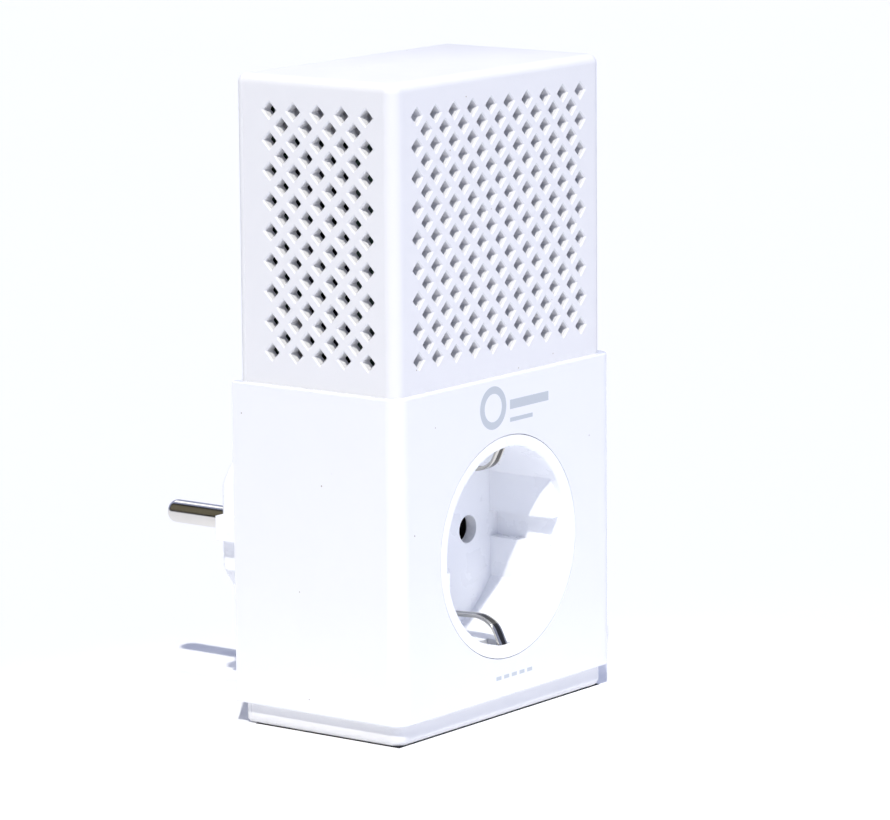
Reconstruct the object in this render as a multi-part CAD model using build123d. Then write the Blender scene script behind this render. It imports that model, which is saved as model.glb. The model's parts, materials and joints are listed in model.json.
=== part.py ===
from build123d import *
import os

# Pass-through powerline adapter: a tall housing with a mains socket in front and a mains plug behind.
# Millimetres. While it is built, x = 0 is the mid-width, y = 0 is the front face of the glossy
# sleeve (+Y towards the plug) and z = 0 is the base it stands on. Each part is moved back by half of
# the total depth when it is written, so the origin is the middle of the footprint.

# ---- driving dimensions -------------------------------------------------------------------------
HEIGHT = 131.0
SLEEVE_WIDTH = 72.0
BODY_DEPTH = 42.0
SLEEVE_PROUD = 1.5
SLEEVE_BOTTOM = 4.5
SLEEVE_TOP = 69.7
SLEEVE_REAR = 41.6
UPPER_DEPTH = 40.5
WALL = 2.4
PARTING = 39.0
SEAM_CHAMFER = 0.15
CORNER_ROUND = 2.6
SLEEVE_CORNER_ROUND = 3.2
SLEEVE_REAR_ROUND = 0.6
TOP_ROUND = 1.8
BASE_ROUND = 1.5
REAR_ROUND = 1.0

SOCKET_Z = 35.0
SOCKET_WELL_RADIUS = 20.2
SOCKET_DEPTH = 17.5
SOCKET_FLOOR = 2.5
SOCKET_RIM_RADIUS = 22.6
SOCKET_RIM_THICKNESS = 1.5
SOCKET_TUBE_RADIUS = 21.75
SOCKET_MOUTH_ROUND = 0.6
SOCKET_FLAT = 17.0
SOCKET_FLAT_FRONT = 2.0
SOCKET_FLAT_HALF_HEIGHT = 10.9
GUIDE_WIDTH = 5.4
PIN_PITCH = 19.0
PIN_HOLE_RADIUS = 2.9
PIN_RADIUS = 2.4
PIN_LENGTH = 19.0
PIN_SHANK_RADIUS = 2.0
PIN_END_ROUND = 1.9
PLUG_Z = SOCKET_Z
PLUG_RADIUS = 18.75
PLUG_FLAT = 16.4
PLUG_FLAT_ROUND = 1.4
PLUG_END_ROUND = 1.8
PLUG_LENGTH = 19.5

VENT_PITCH = 6.0
VENT_SIDE = 2.3
VENT_ROUND = 0.35
VENT_FLARE = 0.25
VENT_TOP_Z = 124.2
VENT_ROWS = 17
FRONT_VENT_COLUMNS = 10
SIDE_VENT_COLUMNS = 5
SIDE_VENT_FIRST_Y = 8.3

BOARD_THICKNESS = 1.6
POWER_BOARD_Y = 34.4
LOGIC_BOARD_Y = 15.0
LOGIC_BOARD_THICKNESS = 1.2

# ---- derived dimensions -------------------------------------------------------------------------
HALF_SLEEVE = SLEEVE_WIDTH / 2
HALF_BODY = HALF_SLEEVE - SLEEVE_PROUD
HALF_INSIDE = HALF_BODY - WALL
FRONT_INSIDE = SLEEVE_PROUD + WALL
PIN_X = PIN_PITCH / 2
PLUG_FACE = BODY_DEPTH + PLUG_LENGTH
TOTAL_DEPTH = PLUG_FACE + PIN_LENGTH
FLOOR_BACK = SOCKET_DEPTH + SOCKET_FLOOR
SIDES = (-1, 1)

FLANGE_FRONT = PARTING - 2.1
FLANGE_BACK = PARTING - 0.1
FLANGE_RADIUS = 21.5

EARTH_STRIP_THICKNESS = 0.8
EARTH_CONTACT_RADIUS = 15.3
EARTH_STRAP_Y = 20.5
CLIP_THICKNESS = 0.7
CLIP_WIDTH = 2.6
CLIP_EDGE_ROUND = 0.25
CLIP_ROOT_Y = EARTH_STRAP_Y - 0.5
CLIP_ROOT_RADIUS = 15.7

LIP_DEPTH = 3.0
LIP_THICKNESS = 1.2
BOSS_X = 27.0
BOSS_ZS = (8.0, 123.0)
BOSS_RADIUS = 3.4
BOSS_TIP_RADIUS = 2.4
BOSS_TIP = PARTING - 1.6
PAD_FRONT = PARTING - 1.5
SCREW_RADIUS = 1.2
SCREW_LENGTH = 10.0
HEAD_RADIUS = 2.6
HEAD_HEIGHT = 1.3
HEAD_SEAT = UPPER_DEPTH - 1.4

CONTROL_Y = 31.0
PAIR_Z = 44.0
PAIR_LENGTH = 12.0
PAIR_WIDTH = 5.0
LED_ZS = (57.0, 61.0, 65.0)
LED_WINDOW_RADIUS = 1.0

JACK_X = -14.0
JACK_WIDTH = 16.0
JACK_HEIGHT = 13.5
JACK_LENGTH = 21.0
JACK_MOUTH_Z = 0.3
JACK_PORT_FRONT = POWER_BOARD_Y - JACK_HEIGHT + 2.6
JACK_PORT_BACK = JACK_PORT_FRONT + 6.8
RESET_X = 14.0

SPACER_X = 25.0
SPACER_Z = 69.0
CHOKE_X = 18.0
CHOKE_Z = 78.0
CHOKE_FRONT = 26.5
CHOKE_BACK = 33.2
HEADER_Z = 120.25
HEADER_PINS = 10
HEADER_PITCH = 2.54

LABEL_DEPTH = 0.25
LABEL_HALF_WIDTH = 25.0
LABEL_BASE = 74.0
LABEL_TOP = 116.0


# ---- shared shapes ------------------------------------------------------------------------------
def block(x0, x1, y0, y1, z0, z1):
    """Block between two corners."""
    middle = Pos((x0 + x1) / 2, (y0 + y1) / 2, (z0 + z1) / 2)
    return middle * Box(x1 - x0, y1 - y0, z1 - z0)


def rod_x(radius, x0, x1, y, z):
    """Round bar along X."""
    return Pos((x0 + x1) / 2, y, z) * Rot(0, 90, 0) * Cylinder(radius, x1 - x0)


def rod_y(radius, y0, y1, x=0.0, z=0.0):
    """Round bar along Y."""
    return Pos(x, (y0 + y1) / 2, z) * Rot(90, 0, 0) * Cylinder(radius, y1 - y0)


def rod_z(radius, z0, z1, x, y):
    """Round bar along Z."""
    return Pos(x, y, (z0 + z1) / 2) * Cylinder(radius, z1 - z0)


def group(solids):
    """Separate solids kept together in one node."""
    return Compound(children=[solid for item in solids for solid in item.solids()])


def write(name, part):
    """Move a part into the final frame and write it."""
    export_step(Pos(0, -TOTAL_DEPTH / 2, 0) * part, f"parts/{name}.step")


def pill_x(length, width, x0, x1, y, z):
    """Round-ended bar along X, long in Z."""
    outline = Plane(origin=(x0, y, z), x_dir=(0, 0, 1), z_dir=(1, 0, 0)) * SlotOverall(length, width)
    return extrude(outline, amount=x1 - x0)


# ---- outer shells -------------------------------------------------------------------------------
def vent_cutter():
    """Diamond prism along +Y through a wall whose face is at y = 0, flared where it meets the face."""
    overshoot = 0.1
    flare = VENT_FLARE + overshoot
    plane = Plane(origin=(0, -overshoot, 0), x_dir=(1, 0, 0), z_dir=(0, 1, 0))
    mouth_side = VENT_SIDE + 2 * flare
    mouth = plane * Rectangle(mouth_side, mouth_side, rotation=45)
    hole = plane * RectangleRounded(VENT_SIDE, VENT_SIDE, VENT_ROUND, rotation=45)
    return extrude(mouth, amount=flare, taper=45) + extrude(hole, amount=WALL + 1.0)


def vent_places(columns):
    """Hole places in alternating rows of columns and columns - 1, hung from the first row."""
    places = []
    for row in range(VENT_ROWS):
        count = columns - row % 2
        first = -VENT_PITCH * (count - 1) / 2
        z = VENT_TOP_Z - VENT_PITCH / 2 * row
        places += [(first + VENT_PITCH * i, z) for i in range(count)]
    return places


def vent_cutters():
    """Cutters through the front wall and both side walls."""
    cutter = vent_cutter()
    side_middle = SIDE_VENT_FIRST_Y + VENT_PITCH * (SIDE_VENT_COLUMNS - 1) / 2
    cutters = [Pos(x, SLEEVE_PROUD, z) * cutter for x, z in vent_places(FRONT_VENT_COLUMNS)]
    for side in SIDES:
        turned = Rot(0, 0, side * 90) * cutter
        cutters += [
            Pos(side * HALF_BODY, side_middle + along, z) * turned
            for along, z in vent_places(SIDE_VENT_COLUMNS)
        ]
    return cutters


def housing_block():
    """Solid outer shape of the front housing, rounded at the front corners, the top and the base."""
    body = block(-HALF_BODY, HALF_BODY, SLEEVE_PROUD, PARTING, 0, HEIGHT)
    body = fillet(body.edges().filter_by(Axis.Z).group_by(Axis.Y)[0], CORNER_ROUND)
    for index, radius in ((-1, TOP_ROUND), (0, BASE_ROUND)):
        face = body.faces().sort_by(Axis.Z)[index]
        rim = face.edges().filter_by(lambda edge: edge.center().Y < PARTING - 0.01)
        body = fillet(rim, radius)
    return body


def front_housing():
    """Perforated front shell with screw bosses, open at the back."""
    body = housing_block()
    inside = block(-HALF_INSIDE, HALF_INSIDE, FRONT_INSIDE, PARTING + 1, WALL, HEIGHT - WALL)
    body -= fillet(inside.edges().filter_by(Axis.Z).group_by(Axis.Y)[0], 0.8)
    for x in (-BOSS_X, BOSS_X):
        for z in BOSS_ZS:
            body += rod_y(BOSS_RADIUS, FRONT_INSIDE - 0.5, POWER_BOARD_Y - 0.1, x, z)
            body += rod_y(BOSS_TIP_RADIUS, POWER_BOARD_Y - 0.5, BOSS_TIP, x, z)
            body -= rod_y(SCREW_RADIUS + 0.05, HEAD_SEAT - SCREW_LENGTH - 0.5, PARTING, x, z)
    body -= rod_y(SOCKET_TUBE_RADIUS + 0.15, 0, FRONT_INSIDE + 1, 0, SOCKET_Z)
    body -= jack_opening()
    body -= rod_z(1.0, -1, WALL + 1, RESET_X, CONTROL_Y)
    body -= pair_opening(0.2)
    for z in LED_ZS:
        body -= rod_x(LED_WINDOW_RADIUS + 0.05, HALF_INSIDE - 1, HALF_SLEEVE + 1, CONTROL_Y, z)
    return body - vent_cutters()


def jack_opening():
    """Hole in the base for the network jack."""
    half = JACK_WIDTH / 2 + 0.2
    back = POWER_BOARD_Y + 0.1
    return block(JACK_X - half, JACK_X + half, back - JACK_HEIGHT - 0.3, back, -1, WALL + 1)


def pair_opening(clearance):
    """Round-ended hole in the right-hand side for the pair button."""
    length = PAIR_LENGTH + 2 * clearance
    width = PAIR_WIDTH + 2 * clearance
    return pill_x(length, width, HALF_INSIDE - 1, HALF_SLEEVE + 1, CONTROL_Y, PAIR_Z)


def rear_cover():
    """Back plate, thicker behind the sleeve, with a locating lip, screw pads and the plug's hole."""
    cover = block(-HALF_BODY, HALF_BODY, PARTING, UPPER_DEPTH, 0, HEIGHT)
    cover = fillet(cover.edges().filter_by(Axis.Y).group_by(Axis.Z)[-1], TOP_ROUND)
    cover = fillet(cover.edges().filter_by(Axis.Y).group_by(Axis.Z)[0], BASE_ROUND)
    cover = fillet(cover.faces().sort_by(Axis.Y)[-1].edges(), REAR_ROUND)
    cover = chamfer(cover.faces().sort_by(Axis.Y)[0].edges(), SEAM_CHAMFER)
    raised = block(-HALF_BODY, HALF_BODY, PARTING + 0.5, BODY_DEPTH, SLEEVE_BOTTOM, SLEEVE_TOP)
    cover += fillet(raised.faces().sort_by(Axis.Y)[-1].edges(), REAR_ROUND)
    outer = HALF_INSIDE - 0.1
    inner = outer - LIP_THICKNESS
    base = WALL + 0.1
    top = HEIGHT - WALL - 0.1
    lip = block(-outer, outer, PARTING - LIP_DEPTH, PARTING, base, top)
    lip -= block(-inner, inner, 0, PARTING, base + LIP_THICKNESS, top - LIP_THICKNESS)
    cover += lip
    for x in (-BOSS_X, BOSS_X):
        for z in BOSS_ZS:
            cover += rod_y(BOSS_RADIUS, PAD_FRONT, PARTING, x, z)
            cover -= rod_y(SCREW_RADIUS + 0.3, 30, BODY_DEPTH + 1, x, z)
            cover -= rod_y(HEAD_RADIUS + 0.2, HEAD_SEAT, BODY_DEPTH + 1, x, z)
    cover -= rod_y(PLUG_RADIUS + 0.15, PARTING - 1, BODY_DEPTH + 1, 0, PLUG_Z)
    return cover - label_block(0.15, 1.0)


def label_block(margin, proud):
    """Shallow rectangle on the upper back where the rating label sits."""
    x = LABEL_HALF_WIDTH + margin
    back = UPPER_DEPTH + proud
    label = block(-x, x, UPPER_DEPTH - LABEL_DEPTH, back, LABEL_BASE - margin, LABEL_TOP + margin)
    return fillet(label.edges().filter_by(Axis.Y), 2.0)


def rating_label():
    """Blank printed label in its recess."""
    return label_block(0.0, -0.05)


def gloss_sleeve():
    """Glossy band round the front and both sides of the lower half, with the socket hole."""
    sleeve = block(-HALF_SLEEVE, HALF_SLEEVE, 0, SLEEVE_REAR, SLEEVE_BOTTOM, SLEEVE_TOP)
    sleeve = fillet(sleeve.edges().filter_by(Axis.Z).group_by(Axis.Y)[0], SLEEVE_CORNER_ROUND)
    for index in (0, -1):
        rim = sleeve.faces().sort_by(Axis.Z)[index].edges()
        rim = rim.filter_by(lambda edge: edge.center().Y < SLEEVE_REAR - 0.01)
        sleeve = fillet(rim, 0.35)
    inside = block(-HALF_BODY, HALF_BODY, SLEEVE_PROUD, SLEEVE_REAR + 5, -1, HEIGHT)
    sleeve -= fillet(inside.edges().filter_by(Axis.Z).group_by(Axis.Y)[0], CORNER_ROUND)
    for index in (0, -1):
        back = sleeve.faces().sort_by(Axis.Y)[-1].edges().filter_by(Axis.Z)
        sleeve = fillet(back.group_by(Axis.X)[index], SLEEVE_REAR_ROUND)
    sleeve -= rod_y(SOCKET_RIM_RADIUS + 0.15, -1, SLEEVE_PROUD + 1, 0, SOCKET_Z)
    sleeve -= pair_opening(0.25)
    for z in LED_ZS:
        sleeve -= rod_x(LED_WINDOW_RADIUS + 0.05, HALF_INSIDE, HALF_SLEEVE + 1, CONTROL_Y, z)
    return sleeve


# ---- socket -------------------------------------------------------------------------------------
def socket_insert():
    """Round socket well with its rim, side flats with guide grooves, pin holes and clip slots."""
    body = rod_y(SOCKET_RIM_RADIUS, 0, SOCKET_RIM_THICKNESS, 0, SOCKET_Z)
    body += rod_y(SOCKET_TUBE_RADIUS, 0, FLOOR_BACK, 0, SOCKET_Z)
    body -= rod_y(SOCKET_WELL_RADIUS, -1, SOCKET_DEPTH, 0, SOCKET_Z)
    mouth = body.edges().filter_by(GeomType.CIRCLE).filter_by(
        lambda edge: abs(edge.radius - SOCKET_WELL_RADIUS) < 0.01 and edge.center().Y < 0.01
    )
    body = fillet(mouth, SOCKET_MOUTH_ROUND)
    for side in SIDES:
        body += socket_flat(side)
        body -= rod_y(PIN_HOLE_RADIUS, SOCKET_DEPTH - 1, FLOOR_BACK + 1, side * PIN_X, SOCKET_Z)
        body -= clip_slot(side)
        body -= clip_notch(side)
    return body


def socket_flat(side):
    """Filled segment beside the well with a guide groove down its middle."""
    fill = rod_y(SOCKET_WELL_RADIUS + 0.5, SOCKET_FLAT_FRONT, SOCKET_DEPTH, 0, SOCKET_Z)
    height = SOCKET_FLAT_HALF_HEIGHT
    fill &= block(SOCKET_FLAT, SOCKET_TUBE_RADIUS, 0, FLOOR_BACK, SOCKET_Z - height, SOCKET_Z + height)
    groove = GUIDE_WIDTH / 2
    fill -= block(SOCKET_FLAT - 1, 19.5, 0, SOCKET_DEPTH, SOCKET_Z - groove, SOCKET_Z + groove)
    return fill if side > 0 else mirror(fill, Plane.YZ)


def clip_slot(side):
    """Slot in the socket floor that an earth clip comes through."""
    low, high = sorted((SOCKET_Z + side * 14.4, SOCKET_Z + side * 17.2))
    half = CLIP_WIDTH / 2 + 0.6
    return block(-half, half, SOCKET_DEPTH - 1, FLOOR_BACK + 1, low, high)


def clip_notch(side):
    """Notch in the well wall that takes the curled end of an earth clip."""
    low, high = sorted((SOCKET_Z + side * 18.0, SOCKET_Z + side * 21.9))
    half = CLIP_WIDTH / 2 + 0.7
    return block(-half, half, 1.1, 7.0, low, high)


def earth_clip(side):
    """Sprung earth strip: straight out of the floor, bowed inwards, then curled out to the rim."""
    path = FilletPolyline(
        (CLIP_ROOT_Y, CLIP_ROOT_RADIUS),
        (6.6, 15.0),
        (3.6, 16.6),
        (1.8, 20.2),
        radius=[7.0, 4.0],
    )
    outline = make_face(offset(path, amount=CLIP_THICKNESS / 2, side=Side.BOTH).edges())
    plane = Plane(origin=(-CLIP_WIDTH / 2, 0, SOCKET_Z), x_dir=(0, 1, 0), z_dir=(1, 0, 0))
    clip = extrude(plane * outline, amount=CLIP_WIDTH)
    for index in (0, -1):
        clip = fillet(clip.faces().sort_by(Axis.X)[index].edges(), CLIP_EDGE_ROUND)
    return clip if side > 0 else mirror(clip, Plane.XY.offset(SOCKET_Z))


def contact_carrier():
    """Moulded frame behind the socket floor that holds the two mains contacts."""
    carrier = block(-16.5, 16.5, FLOOR_BACK + 0.05, 31.2, SOCKET_Z - 6, SOCKET_Z + 6)
    for side in SIDES:
        x = side * PIN_X
        carrier -= block(x - 4.6, x + 4.6, FLOOR_BACK, 32, SOCKET_Z - 4.4, SOCKET_Z + 4.4)
    carrier -= block(-2.9, 2.9, FLOOR_BACK, EARTH_STRAP_Y + 1.4, SOCKET_Z - 7, SOCKET_Z + 7)
    return carrier


def socket_contact(side):
    """Forked brass contact with two leaves that grip a pin."""
    x = side * PIN_X
    contact = block(x - 3.7, x + 3.7, 30.4, 31.2, SOCKET_Z - 2.6, SOCKET_Z + 2.6)
    for leaf in SIDES:
        inner, outer = sorted((x + leaf * 3.05, x + leaf * 3.65))
        contact += block(inner, outer, 20.9, 30.6, SOCKET_Z - 2.6, SOCKET_Z + 2.6)
        lip_inner, lip_outer = sorted((x + leaf * 3.05, x + leaf * 4.3))
        contact += block(lip_inner, lip_outer, 20.4, 21.0, SOCKET_Z - 2.6, SOCKET_Z + 2.6)
    return contact


def busbar(side):
    """Brass strip from a plug pin and its contact up to the power board."""
    x = side * PIN_X
    bar = block(x - 3.2, x + 3.2, 31.2, 32.0, SOCKET_Z - 3.4, SOCKET_Z + 12)
    bar += block(x - 3.2, x + 3.2, 31.2, POWER_BOARD_Y, SOCKET_Z + 11.2, SOCKET_Z + 12)
    return bar


def earth_strap():
    """Strip behind the socket floor that ties both clips to both plug earth strips."""
    reach = EARTH_CONTACT_RADIUS + 2 * EARTH_STRIP_THICKNESS
    back = EARTH_STRAP_Y + EARTH_STRIP_THICKNESS
    strap = block(-2.4, 2.4, EARTH_STRAP_Y, back, SOCKET_Z - reach, PLUG_Z + reach)
    for side in SIDES:
        low, high = sorted((PLUG_Z + side * (reach - EARTH_STRIP_THICKNESS), PLUG_Z + side * reach))
        strap += block(-2.4, 2.4, EARTH_STRAP_Y, POWER_BOARD_Y - 0.4, low, high)
    return strap


# ---- plug ---------------------------------------------------------------------------------------
def plug_body():
    """Round plug with flats, guide ribs, earth-strip channels and a flange inside the rear cover."""
    body = rod_y(PLUG_RADIUS, FLANGE_FRONT, PLUG_FACE, 0, PLUG_Z)
    body = fillet(body.edges().sort_by(Axis.Y)[-1], PLUG_END_ROUND)
    between_flats = block(-PLUG_FLAT, PLUG_FLAT, 30, PLUG_FACE, 0, HEIGHT)
    flat_ends = between_flats.edges().filter_by(Axis.Z).group_by(Axis.Y)[-1]
    body &= fillet(flat_ends, PLUG_FLAT_ROUND)
    body += rod_y(PLUG_RADIUS, FLANGE_FRONT, BODY_DEPTH, 0, PLUG_Z)
    body += rod_y(FLANGE_RADIUS, FLANGE_FRONT, FLANGE_BACK, 0, PLUG_Z)
    for side in SIDES:
        inner, outer = sorted((side * (PLUG_FLAT - 1), side * (PLUG_FLAT + 2.5)))
        body += block(inner, outer, BODY_DEPTH, PLUG_FACE - 0.8, PLUG_Z - 2.5, PLUG_Z + 2.5)
        low, high = sorted((PLUG_Z + side * EARTH_CONTACT_RADIUS, PLUG_Z + side * 22.0))
        body -= block(-2.8, 2.8, BODY_DEPTH + 1.5, PLUG_FACE + 1, low, high)
        low, high = sorted((PLUG_Z + side * EARTH_CONTACT_RADIUS, PLUG_Z + side * 16.2))
        body -= block(-2.5, 2.5, 30, BODY_DEPTH + 2, low, high)
        body -= rod_y(PIN_SHANK_RADIUS + 0.02, 30, PLUG_FACE + 1, side * PIN_X, PLUG_Z)
        body -= rod_y(PIN_RADIUS + 0.05, PLUG_FACE - 0.3, PLUG_FACE + 1, side * PIN_X, PLUG_Z)
    return body


def plug_pin(side):
    """Round contact pin with a domed end, on a thinner shank through the plug."""
    pin = rod_y(PIN_RADIUS, PLUG_FACE, TOTAL_DEPTH, side * PIN_X, PLUG_Z)
    pin = fillet(pin.edges().sort_by(Axis.Y)[-1], PIN_END_ROUND)
    return pin + rod_y(PIN_SHANK_RADIUS, 32.0, PLUG_FACE + 0.5, side * PIN_X, PLUG_Z)


def plug_earth_strip(side):
    """Flat earth contact in the channel on the plug's top or bottom."""
    low = PLUG_Z + side * (EARTH_CONTACT_RADIUS + 0.02)
    high = PLUG_Z + side * (EARTH_CONTACT_RADIUS + EARTH_STRIP_THICKNESS)
    low, high = sorted((low, high))
    strip = block(-2.3, 2.3, POWER_BOARD_Y - 1.6, PLUG_FACE - 1.2, low, high)
    outer = strip.edges().filter_by(Axis.X).group_by(Axis.Y)[-1].sort_by(Axis.Z)
    return fillet(outer[-1 if side > 0 else 0], 0.6)


# ---- circuit boards -----------------------------------------------------------------------------
def header_xs():
    """Places of the board-to-board pins."""
    first = -HEADER_PITCH * (HEADER_PINS - 1) / 2
    return [first + HEADER_PITCH * i for i in range(HEADER_PINS)]


def power_board():
    """Full-height board on the boss shoulders, with holes for the mains pins and earth strips."""
    back = POWER_BOARD_Y + BOARD_THICKNESS
    board = block(-30, 30, POWER_BOARD_Y, back, 4.5, 126)
    for x in (-BOSS_X, BOSS_X):
        for z in BOSS_ZS:
            board -= rod_y(BOSS_TIP_RADIUS + 0.2, 30, 40, x, z)
    for side in SIDES:
        board -= rod_y(PIN_RADIUS + 0.8, 30, 40, side * PIN_X, PLUG_Z)
        low, high = sorted((PLUG_Z + side * 14.6, PLUG_Z + side * 17.6))
        board -= block(-3.2, 3.2, 30, 40, low, high)
    for x in header_xs():
        board -= rod_y(0.45, 30, 40, x, HEADER_Z)
    return board


def logic_board():
    """Front board in the perforated upper half."""
    board = block(-28, 28, LOGIC_BOARD_Y, LOGIC_BOARD_Y + LOGIC_BOARD_THICKNESS, 64, 126)
    for x in (-BOSS_X, BOSS_X):
        board -= rod_y(BOSS_RADIUS + 0.5, 10, 20, x, BOSS_ZS[-1])
    for x in header_xs():
        board -= rod_y(0.45, 10, 20, x, HEADER_Z)
    return board


def board_header():
    """Plastic strip of the board-to-board header."""
    header = block(-13.5, 13.5, POWER_BOARD_Y - 2.6, POWER_BOARD_Y, HEADER_Z - 2.2, HEADER_Z + 2.2)
    for x in header_xs():
        header -= rod_y(0.45, 30, 40, x, HEADER_Z)
    return header


def header_pins():
    """Square pins that join the two boards."""
    return group(block(x - 0.3, x + 0.3, 14.2, 36.7, HEADER_Z - 0.3, HEADER_Z + 0.3) for x in header_xs())


def board_spacers():
    """Nylon posts that hold the lower edge of the logic board."""
    front = LOGIC_BOARD_Y + LOGIC_BOARD_THICKNESS
    return group(rod_y(2.2, front, POWER_BOARD_Y, side * SPACER_X, SPACER_Z) for side in SIDES)


def insulation_sheet():
    """Thin sheet between the solder side of the power board and the rear cover."""
    return block(-28, 28, FLANGE_FRONT, FLANGE_FRONT + 0.3, 61, 117)


# ---- mains and supply components ----------------------------------------------------------------
def fuse():
    """Cylindrical fuse lying on the power board."""
    body = rod_z(2.0, 72, 84, -26.0, POWER_BOARD_Y - 2.4)
    for z in (72.0, 81.5):
        body += rod_z(2.4, z, z + 2.5, -26.0, POWER_BOARD_Y - 2.4)
    return body


def varistor():
    """Disc varistor on edge."""
    disc = rod_x(5.4, -19.5, -15.5, POWER_BOARD_Y - 5.6, 66.5)
    return fillet(disc.edges(), 1.2)


def x2_capacitor():
    """Box film capacitor across the mains."""
    body = block(-10, 7, POWER_BOARD_Y - 14, POWER_BOARD_Y, 60, 69)
    return fillet(body.edges().filter_by(Axis.Y), 0.6)


def ring_y(outer, inner, y0, y1, x, z):
    """Flat ring with its axis along Y."""
    return rod_y(outer, y0, y1, x, z) - rod_y(inner, y0 - 1, y1 + 1, x, z)


def choke_core():
    """Ferrite ring of the common-mode choke."""
    return ring_y(7.5, 4.0, CHOKE_FRONT, CHOKE_BACK, CHOKE_X, CHOKE_Z)


def choke_windings():
    """Two windings on opposite halves of the choke ring."""
    wound = ring_y(8.6, 2.9, CHOKE_FRONT - 1.1, CHOKE_BACK + 1.1, CHOKE_X, CHOKE_Z)
    wound -= ring_y(7.65, 3.85, CHOKE_FRONT, CHOKE_BACK, CHOKE_X, CHOKE_Z)
    return wound - block(CHOKE_X - 1, CHOKE_X + 1, 20, 36, CHOKE_Z - 12, CHOKE_Z + 12)


def bridge_rectifier():
    """Flat bridge rectifier standing on the board."""
    body = block(-27, -23.4, POWER_BOARD_Y - 9, POWER_BOARD_Y - 0.6, 89, 99)
    return chamfer(body.edges().filter_by(Axis.Y).sort_by(Axis.Z)[0], 1.0)


def bulk_capacitors():
    """Two electrolytic cans side by side."""
    cans = []
    for z in (78.0, 90.0):
        can = rod_y(5.0, POWER_BOARD_Y - 16, POWER_BOARD_Y - 0.1, -14.0, z)
        cans.append(fillet(can.edges(), 0.5))
    return group(cans)


def transformer_core():
    """Ferrite frame of the supply transformer."""
    core = block(-3, 14, 20, 33.5, 97, 105)
    return core - block(0, 11, 22.5, 31, 90, 112)


def transformer_winding():
    """Wound bobbin through the ferrite frame, with two feet on the board."""
    bobbin = block(0.05, 10.95, 22.55, 30.95, 93, 109)
    bobbin = fillet(bobbin.edges().filter_by(Axis.Z), 1.0)
    for low in (93.0, 105.2):
        bobbin += block(1, 10, 30, POWER_BOARD_Y, low, low + 3.8)
    return bobbin


def y_capacitor():
    """Small disc capacitor across the isolation gap."""
    disc = rod_x(4.0, -1.8, 1.6, POWER_BOARD_Y - 4.2, 86.0)
    return fillet(disc.edges(), 1.0)


def output_capacitor():
    """Electrolytic can on the low-voltage side."""
    can = rod_y(4.0, POWER_BOARD_Y - 13, POWER_BOARD_Y - 0.1, 21.5, 96.0)
    return fillet(can.edges(), 0.5)


def coupling_transformer():
    """Signal transformer that couples the data signal to the mains."""
    body = block(-25, -15, POWER_BOARD_Y - 9, POWER_BOARD_Y, 105, 115)
    return chamfer(body.edges().filter_by(Axis.Y), 1.0)


# ---- logic components ---------------------------------------------------------------------------
def chip(x, z, width, height, thickness):
    """Flat package on the front of the logic board."""
    return block(
        x - width / 2, x + width / 2, LOGIC_BOARD_Y - thickness, LOGIC_BOARD_Y, z - height / 2, z + height / 2
    )


def heatsink():
    """Finned aluminium block on the main chip."""
    sink = block(-16, 6, 12.0, 13.4, 84, 106)
    for i in range(7):
        x = -16 + 3.4 * i
        sink += block(x, x + 1.4, 7.4, 12.5, 84, 106)
    return sink


# ---- network jack, lights and switches ----------------------------------------------------------
def jack_box(shrink, z_shrink=0.0):
    """Outline block of the network jack."""
    half = JACK_WIDTH / 2 - shrink
    return block(
        JACK_X - half,
        JACK_X + half,
        POWER_BOARD_Y - JACK_HEIGHT + shrink,
        POWER_BOARD_Y - shrink,
        JACK_MOUTH_Z + z_shrink,
        JACK_MOUTH_Z + JACK_LENGTH - shrink,
    )


def jack_port():
    """Cavity for a network plug, with the narrower channel for its latch."""
    top = JACK_MOUTH_Z + 15
    port = block(JACK_X - 5.95, JACK_X + 5.95, JACK_PORT_FRONT, JACK_PORT_BACK, -1, top)
    port += block(JACK_X - 3.2, JACK_X + 3.2, JACK_PORT_FRONT, JACK_PORT_BACK + 1.6, -1, top)
    port += block(JACK_X - 2.0, JACK_X + 2.0, JACK_PORT_FRONT, JACK_PORT_BACK + 2.8, -1, top)
    return port


def ethernet_jack():
    """Moulded body of the network jack."""
    return jack_box(0.3, 0.1) - jack_port()


def ethernet_shield():
    """Folded metal shell round the network jack."""
    return jack_box(0.0) - jack_box(0.3, 0.0) - block(
        JACK_X - 7.7, JACK_X + 7.7, POWER_BOARD_Y - JACK_HEIGHT + 0.3, POWER_BOARD_Y - 0.3, -1, 3
    )


def ethernet_contacts():
    """Eight sprung wires in the network port."""
    wires = []
    for i in range(8):
        x = JACK_X + 1.02 * (i - 3.5)
        wires.append(block(x - 0.2, x + 0.2, JACK_PORT_FRONT, JACK_PORT_FRONT + 0.5, 4, 15.2))
    return group(wires)


def status_leds():
    """Side-facing lights on the power board."""
    return group(block(25.8, 28.2, POWER_BOARD_Y - 4.4, POWER_BOARD_Y, z - 1.2, z + 1.2) for z in LED_ZS)


def light_guide():
    """Clear moulding with one peg to each light window."""
    guide = block(29.4, 30.6, CONTROL_Y - 0.8, CONTROL_Y + 0.8, LED_ZS[0] - 1, LED_ZS[-1] + 1)
    for z in LED_ZS:
        guide += rod_x(LED_WINDOW_RADIUS, 28.4, HALF_SLEEVE - 0.05, CONTROL_Y, z)
    return guide


def pair_button():
    """Round-ended push button with a retaining flange and a stem."""
    cap = pill_x(PAIR_LENGTH, PAIR_WIDTH, HALF_INSIDE - 0.4, HALF_SLEEVE, CONTROL_Y, PAIR_Z)
    cap = fillet(cap.faces().sort_by(Axis.X)[-1].edges(), 0.5)
    cap += pill_x(PAIR_LENGTH + 2, PAIR_WIDTH + 2, 31.0, HALF_INSIDE - 0.3, CONTROL_Y, PAIR_Z)
    cap += rod_x(1.5, 30.4, 31.2, CONTROL_Y, PAIR_Z)
    return cap


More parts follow.
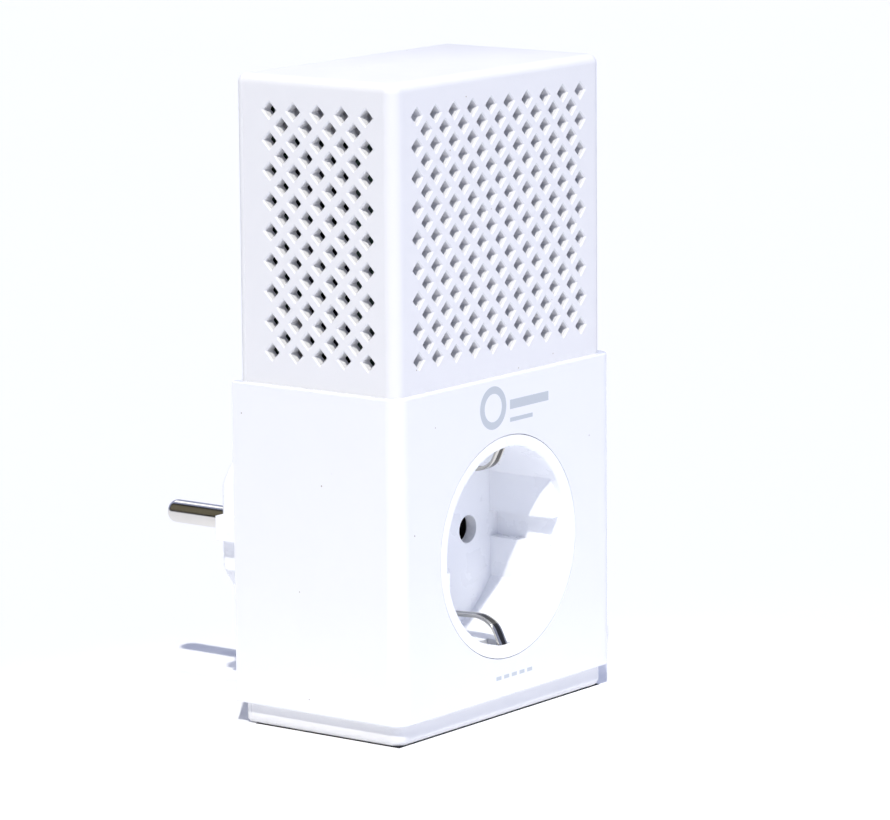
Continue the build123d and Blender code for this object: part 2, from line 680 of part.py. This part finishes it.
def pair_switch():
    """Body of the side-facing push switch behind the pair button."""
    body = block(25.4, 29.0, POWER_BOARD_Y - 6.4, POWER_BOARD_Y, PAIR_Z - 3.1, PAIR_Z + 3.1)
    return body - rod_x(1.85, 27.4, 30, CONTROL_Y, PAIR_Z)


def pair_plunger():
    """Moving pin of the pair switch."""
    return rod_x(1.65, 28.2, 30.3, CONTROL_Y, PAIR_Z)


def reset_switch():
    """Body of the push switch behind the pinhole in the base."""
    body = block(RESET_X - 3.1, RESET_X + 3.1, POWER_BOARD_Y - 6.4, POWER_BOARD_Y, 5.0, 8.6)
    return body - rod_z(1.85, 4, 6.6, RESET_X, CONTROL_Y)


def reset_plunger():
    """Moving pin of the reset switch."""
    return rod_z(1.65, 3.8, 5.9, RESET_X, CONTROL_Y)


def housing_screws():
    """Four screws that hold the rear cover to the bosses."""
    screws = []
    end = HEAD_SEAT + HEAD_HEIGHT
    for x in (-BOSS_X, BOSS_X):
        for z in BOSS_ZS:
            head = rod_y(HEAD_RADIUS, HEAD_SEAT, end, x, z)
            head = fillet(head.edges().sort_by(Axis.Y)[-1], 0.4)
            head -= block(x - 1.6, x + 1.6, end - 0.7, end, z - 0.3, z + 0.3)
            head -= block(x - 0.3, x + 0.3, end - 0.7, end, z - 1.6, z + 1.6)
            screws.append(head + rod_y(SCREW_RADIUS, HEAD_SEAT - SCREW_LENGTH, HEAD_SEAT + 0.1, x, z))
    return group(screws)


# ---- every node ---------------------------------------------------------------------------------
os.makedirs("parts", exist_ok=True)

NODES = {
    "front_housing": front_housing(),
    "rear_cover": rear_cover(),
    "gloss_sleeve": gloss_sleeve(),
    "socket_insert": socket_insert(),
    "socket_earth_clip_top": earth_clip(1),
    "socket_earth_clip_bottom": earth_clip(-1),
    "contact_carrier": contact_carrier(),
    "line_contact": socket_contact(1),
    "neutral_contact": socket_contact(-1),
    "line_busbar": busbar(1),
    "neutral_busbar": busbar(-1),
    "earth_strap": earth_strap(),
    "plug_body": plug_body(),
    "plug_pin_line": plug_pin(1),
    "plug_pin_neutral": plug_pin(-1),
    "plug_earth_strip_top": plug_earth_strip(1),
    "plug_earth_strip_bottom": plug_earth_strip(-1),
    "power_board": power_board(),
    "logic_board": logic_board(),
    "board_header": board_header(),
    "header_pins": header_pins(),
    "board_spacers": board_spacers(),
    "insulation_sheet": insulation_sheet(),
    "fuse": fuse(),
    "varistor": varistor(),
    "x2_capacitor": x2_capacitor(),
    "choke_core": choke_core(),
    "choke_windings": choke_windings(),
    "bridge_rectifier": bridge_rectifier(),
    "bulk_capacitors": bulk_capacitors(),
    "transformer_core": transformer_core(),
    "transformer_winding": transformer_winding(),
    "y_capacitor": y_capacitor(),
    "output_capacitor": output_capacitor(),
    "coupling_transformer": coupling_transformer(),
    "main_chip": chip(-5, 95, 14, 14, 1.2),
    "thermal_pad": block(-12, 2, 13.4, LOGIC_BOARD_Y - 1.2, 88, 102),
    "heatsink": heatsink(),
    "memory_chip": chip(17, 98, 11, 8, 1.1),
    "crystal": chip(15, 84, 5, 3.2, 1.2),
    "ethernet_jack": ethernet_jack(),
    "ethernet_shield": ethernet_shield(),
    "ethernet_contacts": ethernet_contacts(),
    "ethernet_magnetics": block(18.6, 25.6, POWER_BOARD_Y - 5.8, POWER_BOARD_Y, 13, 29),
    "status_leds": status_leds(),
    "light_guide": light_guide(),
    "pair_button": pair_button(),
    "pair_switch": pair_switch(),
    "pair_plunger": pair_plunger(),
    "reset_switch": reset_switch(),
    "reset_plunger": reset_plunger(),
    "housing_screws": housing_screws(),
    "rating_label": rating_label(),
}

for node, part in NODES.items():
    write(node, part)
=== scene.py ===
"""Looks of the pass-through powerline adapter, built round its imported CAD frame. Metres."""

import json
import math

import bmesh
import bpy
from mathutils import Matrix, Vector


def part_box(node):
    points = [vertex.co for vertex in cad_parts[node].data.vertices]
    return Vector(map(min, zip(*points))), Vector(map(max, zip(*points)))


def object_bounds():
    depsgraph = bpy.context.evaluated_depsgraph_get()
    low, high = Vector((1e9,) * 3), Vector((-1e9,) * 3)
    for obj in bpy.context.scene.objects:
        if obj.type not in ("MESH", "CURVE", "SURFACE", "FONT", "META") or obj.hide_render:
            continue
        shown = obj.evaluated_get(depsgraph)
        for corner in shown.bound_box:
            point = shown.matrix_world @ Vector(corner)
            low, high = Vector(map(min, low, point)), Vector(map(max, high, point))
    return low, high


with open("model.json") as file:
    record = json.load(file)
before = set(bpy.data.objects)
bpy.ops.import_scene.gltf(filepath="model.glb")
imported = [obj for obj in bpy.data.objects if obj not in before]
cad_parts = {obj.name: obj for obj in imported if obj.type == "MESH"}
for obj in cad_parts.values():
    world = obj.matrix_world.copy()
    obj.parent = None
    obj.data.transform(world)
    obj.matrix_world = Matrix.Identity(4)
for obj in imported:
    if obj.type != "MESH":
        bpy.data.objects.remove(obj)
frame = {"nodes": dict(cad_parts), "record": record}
CAD_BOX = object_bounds()
NODES = frame["nodes"]
SLOT_OF = {part["node"]: part["material_slot"] for part in frame["record"]["subparts"]}
MM = 0.001

# ---- the view ----------------------------------------------------------------------------------
CAMERA_PLACE = Vector((-0.79535, -0.62983, 0.23782))
CAMERA_FORWARD = Vector((0.78356, 0.59646, -0.17400))
CAMERA_RIGHT = Vector((0.60450, -0.79656, -0.00837))
LENS_MM = 203.92
SENSOR_MM = 36.0
CLIP_NEAR, CLIP_FAR = 0.05, 20.0

# ---- the light: a sun-like key from behind the camera, a pool on the floor and a bluish surround --
KEY_DIRECTION = Vector((0.50, 0.36, -0.79))
KEY_STRENGTH = 2.65
KEY_COLOUR = (1.0, 0.975, 0.90)
KEY_ANGLE = math.radians(1.6)
POOL_PLACE = Vector((-0.06, -0.09, 0.9))
POOL_STRENGTH = 8.0
POOL_RADIUS = 0.152
POOL_EDGE = 0.25
POOL_LAMP_RADIUS = 0.03
SURROUND_COLOUR = (0.585, 0.655, 0.97, 1.0)
SURROUND_STRENGTH = 0.65
DARK_EDGE = (0.012, 0.010, 0.008, 1.0)
DARK_MIDDLE = (0.24, 0.22, 0.16, 1.0)
DARK_DIRECTION = Vector((-0.58, 0.60, 0.55)).normalized()
# Colours across the dark patch, by the cosine of the angle from its direction.
DARK_STOPS = ((0.79, SURROUND_COLOUR), (0.82, DARK_EDGE), (0.89, DARK_EDGE), (0.96, DARK_MIDDLE))
GLINT_COLOUR = (3.0, 3.0, 3.1, 1.0)
GLINT_DIRECTION = Vector((0.40, 0.60, 0.69)).normalized()
GLINT_COSINE = 0.988

# ---- the floor, with a painted contact shadow where the base stands on it -------------------------
FLOOR_SIZE = 4.0
# Painted contact shadow under the base: its inset from the base's edges and its colour.
CONTACT_SHADOW_INSET = 0.5 * MM
CONTACT_SHADOW_COLOUR = (0.03, 0.03, 0.032, 1.0)

# ---- the printed mark on the front, in millimetres ------------------------------------------------
FRONT_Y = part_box("gloss_sleeve")[0].y
PRINT_DEPTH = 0.2
RING_X, RING_Z, RING_RADIUS, RING_HALF_WIDTH = -5.0, 63.9, 3.6, 0.75
MARK_BARS = [(7.1, 63.8, 6.5, 0.95), (4.4, 60.7, 3.8, 0.42)]
DASHES = [(-3.7 + 2.6 * i, 8.6, 0.85, 0.38) for i in range(5)]

# Most of a noise's values lie in this span.
NOISE_SPAN = (0.3, 0.7)


# ---- material helpers --------------------------------------------------------------------------
class Look:
    """A node material round one Principled shader."""

    def __init__(self, name, **values):
        self.material = bpy.data.materials.new(name)
        self.material.use_nodes = True
        self.tree = self.material.node_tree
        self.tree.nodes.clear()
        output = self.tree.nodes.new("ShaderNodeOutputMaterial")
        self.shader = self.tree.nodes.new("ShaderNodeBsdfPrincipled")
        self.tree.links.new(self.shader.outputs[0], output.inputs["Surface"])
        for socket, value in values.items():
            self.shader.inputs[socket.replace("_", " ")].default_value = value
        self.place = self.tree.nodes.new("ShaderNodeTexCoord").outputs["Object"]
        self.normal = None

    def node(self, kind, inputs=None, output=0, **settings):
        """Add a node, set or link its inputs, and return one of its outputs."""
        made = self.tree.nodes.new(kind)
        for name, value in settings.items():
            setattr(made, name, value)
        for key, value in (inputs or {}).items():
            if isinstance(value, bpy.types.NodeSocket):
                self.tree.links.new(value, made.inputs[key])
            else:
                made.inputs[key].default_value = value
        return made.outputs[output]

    def stretched(self, x, y, z):
        """The object's coordinates stretched along its axes."""
        return self.node("ShaderNodeVectorMath", {0: self.place, 1: (x, y, z)}, operation="MULTIPLY")

    def noise(self, scale, detail=2.0, vector=None, roughness=0.5):
        """Soft noise from 0 to 1; scale is cells per metre."""
        inputs = {"Scale": scale, "Detail": detail, "Roughness": roughness}
        inputs["Vector"] = vector or self.place
        return self.node("ShaderNodeTexNoise", inputs)

    def math(self, operation, first, second=0.0, third=0.0):
        """One arithmetic step."""
        return self.node("ShaderNodeMath", {0: first, 1: second, 2: third}, operation=operation)

    def span(self, value, low, high, start, end):
        """Map low..high to start..end, clamped."""
        inputs = {"Value": value, "From Min": low, "From Max": high, "To Min": start, "To Max": end}
        return self.node("ShaderNodeMapRange", inputs)

    def blend(self, amount, first, second):
        """Mix two colours."""
        inputs = {0: amount, 6: first, 7: second}
        return self.node("ShaderNodeMix", inputs, output=2, data_type="RGBA")

    def link(self, socket, value):
        """Drive one of the shader's sockets."""
        self.tree.links.new(value, self.shader.inputs[socket])

    def polish(self, noise, low, high):
        """Drive the roughness from low to high by a noise."""
        self.link("Roughness", self.span(noise, *NOISE_SPAN, low, high))

    def bump(self, height, distance, strength=1.0):
        """Raise the surface by a height from 0 to 1 times a distance in metres."""
        inputs = {"Height": height, "Distance": distance, "Strength": strength}
        if self.normal:
            inputs["Normal"] = self.normal
        self.normal = self.node("ShaderNodeBump", inputs)
        self.link("Normal", self.normal)

    def axes(self):
        """The three object coordinates."""
        split = self.tree.nodes.new("ShaderNodeSeparateXYZ")
        self.tree.links.new(self.place, split.inputs[0])
        return split.outputs[0], split.outputs[1], split.outputs[2]

    def inside(self, value, centre, half):
        """1 where value is within half of centre."""
        offset = self.math("ABSOLUTE", self.math("SUBTRACT", value, centre))
        return self.math("LESS_THAN", offset, half)

    def both(self, first, second):
        """1 where both masks are 1."""
        return self.math("MULTIPLY", first, second)

    def either(self, masks):
        """1 where any mask is 1."""
        total = masks[0]
        for mask in masks[1:]:
            total = self.math("MAXIMUM", total, mask)
        return total

    def specks(self, cells, radius, share):
        """Scattered dots: cells per metre, radius as a share of a cell, and the share of cells used."""
        cell = self.tree.nodes.new("ShaderNodeTexVoronoi")
        cell.inputs["Scale"].default_value = cells
        self.tree.links.new(self.place, cell.inputs["Vector"])
        near = self.math("LESS_THAN", cell.outputs["Distance"], radius)
        split = self.tree.nodes.new("ShaderNodeSeparateColor")
        self.tree.links.new(cell.outputs["Color"], split.inputs[0])
        return self.both(near, self.math("LESS_THAN", split.outputs[0], share))


def rgb(red, green, blue):
    """Opaque colour."""
    return (red, green, blue, 1.0)


def plastic(name, light, dark, roughness, grain, depth, dust=None, **values):
    """Moulded plastic: slight mottling, uneven polish, a fine grain of given cells per metre, maybe dust."""
    look = Look(name, **values)
    colour = look.blend(look.noise(45.0, 3.0), light, dark)
    if dust:
        colour = look.blend(look.specks(240.0, 0.035, 0.35), colour, dust)
    look.link("Base Color", colour)
    low, high = roughness
    look.polish(look.noise(160.0, 4.0), low, high)
    look.bump(look.noise(grain, 3.0), depth)
    return look


def metal(name, light, dark, roughness, stretch, depth, **values):
    """Metal drawn or rolled along one axis, with faint streaks and stains."""
    look = Look(name, Metallic=1.0, **values)
    streak = look.noise(1.0, 3.0, look.stretched(*stretch))
    look.link("Base Color", look.blend(look.noise(220.0, 4.0), light, dark))
    low, high = roughness
    look.polish(streak, low, high)
    look.bump(streak, depth)
    return look


LONG_Y = (500.0, 60.0, 500.0)
LONG_Z = (500.0, 500.0, 60.0)


# ---- the record's material slots ----------------------------------------------------------------
def gloss_white():
    """Polished white with a grey ring-and-bars mark, a row of dashes and a little dust."""
    look = Look("gloss_white", Specular_IOR_Level=0.55, Coat_Weight=0.35, Coat_Roughness=0.03)
    plain = look.blend(look.noise(30.0, 3.0), rgb(0.832, 0.841, 0.863), rgb(0.822, 0.832, 0.855))
    x, y, z = look.axes()
    across = look.math("SUBTRACT", x, RING_X * MM)
    along = look.math("SUBTRACT", z, RING_Z * MM)
    along_squared = look.math("MULTIPLY", along, along)
    reach = look.math("SQRT", look.math("MULTIPLY_ADD", across, across, along_squared))
    masks = [look.inside(reach, RING_RADIUS * MM, RING_HALF_WIDTH * MM)]
    for bar_x, bar_z, half_x, half_z in MARK_BARS + DASHES:
        wide = look.inside(x, bar_x * MM, half_x * MM)
        masks.append(look.both(wide, look.inside(z, bar_z * MM, half_z * MM)))
    front = look.math("LESS_THAN", y, FRONT_Y + PRINT_DEPTH * MM)
    ink = look.both(look.either(masks), front)
    printed = look.blend(ink, plain, rgb(0.50, 0.54, 0.58))
    dust = look.specks(190.0, 0.03, 0.5)
    look.link("Base Color", look.blend(dust, printed, rgb(0.36, 0.29, 0.24)))
    look.link("Roughness", look.span(look.noise(90.0, 5.0), 0.35, 0.7, 0.06, 0.16))
    look.bump(look.noise(260.0, 2.0), 9e-6)
    look.bump(dust, 60e-6)
    return look


def spring_nickel():
    """Plated spring strip, with a dark painted reflection along its middle; the edges keep the plain plated
    colour.
    """
    look = Look("spring_nickel", Metallic=1.0)
    x, _, _ = look.axes()
    stain = look.noise(260.0, 3.0)
    bright = look.blend(stain, rgb(0.66, 0.64, 0.58), rgb(0.52, 0.50, 0.45))
    # Painted reflection: a near-black band along the strip's middle stands in for a dark reflection.
    painted_dark_reflection = look.blend(stain, rgb(0.045, 0.042, 0.036), rgb(0.10, 0.094, 0.08))
    wander = look.span(stain, *NOISE_SPAN, 0.55 * MM, 0.8 * MM)
    middle = look.math("LESS_THAN", look.math("ABSOLUTE", x), wander)
    look.link("Base Color", look.blend(middle, bright, painted_dark_reflection))
    look.polish(look.noise(1.0, 3.0, look.stretched(*LONG_Y)), 0.12, 0.22)
    look.bump(look.noise(900.0, 2.0), 6e-6)
    return look


def board_green():
    """Solder mask over copper tracks and vias."""
    look = Look("board_green", Specular_IOR_Level=0.5)
    x, _, z = look.axes()
    flat = look.node("ShaderNodeCombineXYZ", {0: x, 1: z, 2: 0.0})
    brick = look.tree.nodes.new("ShaderNodeTexBrick")
    for key, value in (("Scale", 260.0), ("Mortar Size", 0.09), ("Mortar Smooth", 0.1)):
        brick.inputs[key].default_value = value
    look.tree.links.new(flat, brick.inputs["Vector"])
    track = brick.outputs["Fac"]
    via = look.specks(420.0, 0.16, 0.3)
    mask = look.blend(look.noise(60.0, 3.0), rgb(0.012, 0.040, 0.026), rgb(0.018, 0.055, 0.034))
    tracked = look.blend(track, mask, rgb(0.035, 0.085, 0.05))
    look.link("Base Color", look.blend(via, tracked, rgb(0.72, 0.70, 0.62)))
    look.polish(look.noise(300.0, 3.0), 0.22, 0.38)
    look.bump(track, 30e-6)
    return look


def winding_copper():
    """Enamelled wire wound round the ring: close turns as fine ridges, with painted shade in the grooves
    between turns.
    """
    look = Look("winding_copper", Metallic=1.0, Coat_Weight=0.6, Coat_Roughness=0.12)
    x, _, z = look.axes()
    low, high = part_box("choke_windings")
    across = look.math("SUBTRACT", x, (low.x + high.x) / 2)
    along = look.math("SUBTRACT", z, (low.z + high.z) / 2)
    turn = look.math("ARCTAN2", along, across)
    ridge = look.math("ABSOLUTE", look.math("SINE", look.math("MULTIPLY", turn, 34.0)))
    tone = look.blend(look.noise(400.0), rgb(0.78, 0.34, 0.13), rgb(0.62, 0.24, 0.09))
    # Painted shade: the colour darkens to a dark brown in the grooves between turns.
    look.link("Base Color", look.blend(ridge, rgb(0.20, 0.07, 0.03), tone))
    look.polish(look.noise(500.0), 0.22, 0.36)
    look.bump(ridge, 220e-6)
    return look


def label_paper():
    """Pale printed label: a thin border, grey bars where print would be and a square of small cells."""
    look = Look("label_paper", Specular_IOR_Level=0.35)
    x, _, z = look.axes()
    low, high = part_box("rating_label")
    mid_x, mid_z = (low.x + high.x) / 2, (low.z + high.z) / 2
    half_x, half_z = (high.x - low.x) / 2, (high.z - low.z) / 2

    def panel(inset):
        """1 on the label, up to a distance from its edges."""
        return look.both(look.inside(x, mid_x, half_x - inset), look.inside(z, mid_z, half_z - inset))

    border = look.both(panel(1.2 * MM), look.math("SUBTRACT", 1.0, panel(1.5 * MM)))
    rows = [(10.0, 15.0, 9.5, 0.8), (10.0, 11.5, 9.5, 0.45), (10.0, 8.5, 8.0, 0.45), (10.0, 5.5, 9.0, 0.45)]
    rows += [(0.0, -2.0 - 3.2 * i, 20.0 - 3.0 * (i % 3), 0.4) for i in range(5)]
    masks = [border]
    for row_x, row_z, wide, tall in rows:
        across = look.inside(x, mid_x + row_x * MM, wide * MM)
        masks.append(look.both(across, look.inside(z, mid_z + row_z * MM, tall * MM)))
    cells = look.node("ShaderNodeTexChecker", {"Vector": look.place, "Scale": 1.0 / (1.1 * MM)}, output=1)
    square = look.both(
        look.inside(x, mid_x - 13.0 * MM, 5.5 * MM), look.inside(z, mid_z + 10.5 * MM, 5.5 * MM)
    )
    masks.append(look.both(cells, square))
    paper = look.blend(look.noise(500.0, 4.0), rgb(0.80, 0.80, 0.82), rgb(0.76, 0.76, 0.78))
    look.link("Base Color", look.blend(look.either(masks), paper, rgb(0.22, 0.22, 0.24)))
    look.polish(look.noise(700.0, 3.0), 0.4, 0.55)
    look.bump(look.noise(2200.0, 3.0), 8e-6)
    return look


def clear_guide():
    """Clear moulding that carries the lights to their windows."""
    look = Look("clear_guide", Transmission_Weight=0.85, IOR=1.49)
    look.link("Base Color", look.blend(look.noise(200.0), rgb(0.94, 0.97, 0.98), rgb(0.88, 0.93, 0.95)))
    look.polish(look.noise(500.0), 0.08, 0.18)
    look.bump(look.noise(1200.0), 6e-6)
    return look


LOOKS = {
    "matte_white": plastic(
        "matte_white", rgb(0.795, 0.795, 0.803), rgb(0.785, 0.785, 0.794), (0.46, 0.6), 2600.0, 18e-6,
        dust=rgb(0.42, 0.36, 0.30), Specular_IOR_Level=0.4,
    ),
    "gloss_white": gloss_white(),
    "socket_white": plastic(
        "socket_white", rgb(0.955, 0.965, 0.985), rgb(0.945, 0.957, 0.978), (0.24, 0.36), 1800.0, 10e-6,
        Specular_IOR_Level=0.5,
    ),
    "nickel": metal(
        "nickel", rgb(0.80, 0.78, 0.73), rgb(0.70, 0.67, 0.61), (0.12, 0.24), LONG_Y, 8e-6
    ),
    "spring_nickel": spring_nickel(),
    "contact_brass": metal(
        "contact_brass", rgb(0.86, 0.66, 0.33), rgb(0.74, 0.53, 0.24), (0.22, 0.36), LONG_Z, 10e-6
    ),
    "gold_contact": metal(
        "gold_contact", rgb(0.95, 0.74, 0.32), rgb(0.86, 0.63, 0.24), (0.12, 0.22), LONG_Z, 5e-6
    ),
    "screw_steel": metal(
        "screw_steel", rgb(0.62, 0.62, 0.64), rgb(0.50, 0.50, 0.52), (0.24, 0.4), LONG_Z, 12e-6
    ),
    "board_green": board_green(),
    "black_plastic": plastic(
        "black_plastic", rgb(0.030, 0.030, 0.034), rgb(0.022, 0.022, 0.026), (0.4, 0.56), 3200.0, 16e-6
    ),
    "switch_plunger": plastic(
        "switch_plunger", rgb(0.70, 0.10, 0.06), rgb(0.60, 0.08, 0.05), (0.3, 0.45), 3000.0, 10e-6
    ),
    "nylon": plastic(
        "nylon", rgb(0.80, 0.78, 0.70), rgb(0.74, 0.72, 0.64), (0.38, 0.5), 2200.0, 12e-6,
        Subsurface_Weight=0.15,
    ),
    "ferrite": plastic(
        "ferrite", rgb(0.060, 0.060, 0.064), rgb(0.040, 0.040, 0.044), (0.5, 0.7), 2600.0, 34e-6
    ),
    "winding_copper": winding_copper(),
    "winding_tape": plastic(
        "winding_tape", rgb(0.86, 0.62, 0.07), rgb(0.78, 0.54, 0.05), (0.16, 0.3), 900.0, 16e-6
    ),
    "film_capacitor": plastic(
        "film_capacitor", rgb(0.78, 0.66, 0.12), rgb(0.70, 0.58, 0.09), (0.28, 0.42), 1500.0, 14e-6
    ),
    "can_sleeve": plastic(
        "can_sleeve", rgb(0.035, 0.035, 0.07), rgb(0.025, 0.025, 0.05), (0.16, 0.28), 1400.0, 10e-6
    ),
    "disc_blue": plastic(
        "disc_blue", rgb(0.05, 0.17, 0.50), rgb(0.04, 0.13, 0.42), (0.14, 0.26), 900.0, 24e-6
    ),
    "fuse_ceramic": plastic(
        "fuse_ceramic", rgb(0.78, 0.75, 0.68), rgb(0.70, 0.67, 0.60), (0.2, 0.34), 1800.0, 10e-6
    ),
    "bare_aluminium": metal(
        "bare_aluminium", rgb(0.74, 0.74, 0.76), rgb(0.64, 0.64, 0.66), (0.26, 0.42), LONG_Z, 12e-6
    ),
    "thermal_rubber": plastic(
        "thermal_rubber", rgb(0.50, 0.56, 0.64), rgb(0.44, 0.50, 0.58), (0.6, 0.8), 1500.0, 26e-6
    ),
    "led_lens": plastic(
        "led_lens", rgb(0.84, 0.88, 0.78), rgb(0.78, 0.82, 0.72), (0.12, 0.22), 1600.0, 6e-6
    ),
    "clear_guide": clear_guide(),
    "label_paper": label_paper(),
    "insulating_film": plastic(
        "insulating_film", rgb(0.76, 0.72, 0.58), rgb(0.70, 0.66, 0.52), (0.2, 0.32), 800.0, 12e-6
    ),
}

for name, piece in NODES.items():
    material = LOOKS[SLOT_OF[name]].material
    piece.data.materials.clear()
    piece.data.materials.append(material)


# ---- floor, light and camera --------------------------------------------------------------------
def put(name, data):
    """Link a new object into the scene."""
    made = bpy.data.objects.new(name, data)
    bpy.context.scene.collection.objects.link(made)
    return made


def pale_floor():
    """Wide pale floor, with a painted contact shadow in the narrow gap under the adapter's rounded base."""
    mesh = bpy.data.meshes.new("floor")
    shape = bmesh.new()
    bmesh.ops.create_grid(shape, x_segments=8, y_segments=8, size=FLOOR_SIZE)
    shape.to_mesh(mesh)
    shape.free()
    floor = put("floor", mesh)
    floor.location.z = CAD_BOX[0].z
    look = Look("floor_paper", Specular_IOR_Level=0.0, IOR=1.02)
    paper = look.blend(look.noise(6.0, 3.0), rgb(0.972, 0.975, 0.985), rgb(0.965, 0.968, 0.98))
    low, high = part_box("front_housing")
    x, y, _ = look.axes()
    middle, half = (low + high) / 2, (high - low) / 2
    # Painted contact shadow: the floor under the base, short of its edges by the inset, is coloured near
    # black.
    wide = look.inside(x, middle.x, half.x - CONTACT_SHADOW_INSET)
    deep = look.inside(y, middle.y, half.y - CONTACT_SHADOW_INSET)
    look.link("Base Color", look.blend(look.both(wide, deep), paper, CONTACT_SHADOW_COLOUR))
    look.polish(look.noise(80.0, 3.0), 0.7, 0.85)
    look.bump(look.noise(900.0, 3.0), 10e-6)
    mesh.materials.append(look.material)


def key_light():
    """Sun-like key with slightly soft edges."""
    data = bpy.data.lights.new("key", "SUN")
    data.energy = KEY_STRENGTH
    data.color = KEY_COLOUR
    data.angle = KEY_ANGLE
    light = put("key", data)
    light.rotation_mode = "QUATERNION"
    light.rotation_quaternion = KEY_DIRECTION.to_track_quat("-Z", "Y")


def pool_light():
    """Soft overhead spot on the floor in front, so that the lower half gets more bounced light."""
    data = bpy.data.lights.new("pool", "SPOT")
    data.energy = POOL_STRENGTH
    data.spot_size = 2 * math.atan2(POOL_RADIUS, POOL_PLACE.z)
    data.spot_blend = POOL_EDGE
    data.shadow_soft_size = POOL_LAMP_RADIUS
    put("pool", data).location = POOL_PLACE


def facing(tree, place, direction):
    """Cosine of the angle between the looked-at part of the surround and a direction."""
    near = tree.nodes.new("ShaderNodeVectorMath")
    near.operation = "DOT_PRODUCT"
    tree.links.new(place, near.inputs[0])
    near.inputs[1].default_value = direction
    return near.outputs["Value"]


def surround():
    """Even, slightly blue light from all round, with a dark and a bright patch that the metal reflects."""
    world = bpy.data.worlds.new("surround")
    world.use_nodes = True
    tree = world.node_tree
    shade = tree.nodes["Background"]
    shade.inputs["Strength"].default_value = SURROUND_STRENGTH
    place = tree.nodes.new("ShaderNodeTexCoord").outputs["Generated"]
    patch = tree.nodes.new("ShaderNodeValToRGB")
    ramp = patch.color_ramp
    first, *between, last = DARK_STOPS
    ramp.elements[0].position, ramp.elements[0].color = first
    ramp.elements[1].position, ramp.elements[1].color = last
    for position, colour in between:
        ramp.elements.new(position).color = colour
    tree.links.new(facing(tree, place, DARK_DIRECTION), patch.inputs["Fac"])
    bright = tree.nodes.new("ShaderNodeMath")
    bright.operation = "GREATER_THAN"
    bright.inputs[1].default_value = GLINT_COSINE
    tree.links.new(facing(tree, place, GLINT_DIRECTION), bright.inputs[0])
    both = tree.nodes.new("ShaderNodeMix")
    both.data_type = "RGBA"
    both.inputs[7].default_value = GLINT_COLOUR
    tree.links.new(bright.outputs[0], both.inputs[0])
    tree.links.new(patch.outputs["Color"], both.inputs[6])
    tree.links.new(both.outputs[2], shade.inputs["Color"])
    bpy.context.scene.world = world


def camera():
    """Camera at the viewing angle, aimed by its own forward and right directions."""
    data = bpy.data.cameras.new("camera")
    data.lens = LENS_MM
    data.sensor_width = SENSOR_MM
    data.clip_start, data.clip_end = CLIP_NEAR, CLIP_FAR
    eye = put("camera", data)
    up = CAMERA_RIGHT.cross(CAMERA_FORWARD)
    turn = Matrix((CAMERA_RIGHT, up, -CAMERA_FORWARD)).transposed()
    eye.matrix_world = Matrix.Translation(CAMERA_PLACE) @ turn.to_4x4()
    bpy.context.scene.camera = eye


pale_floor()
key_light()
pool_light()
surround()
camera()
bpy.context.scene.view_settings.view_transform = "Standard"
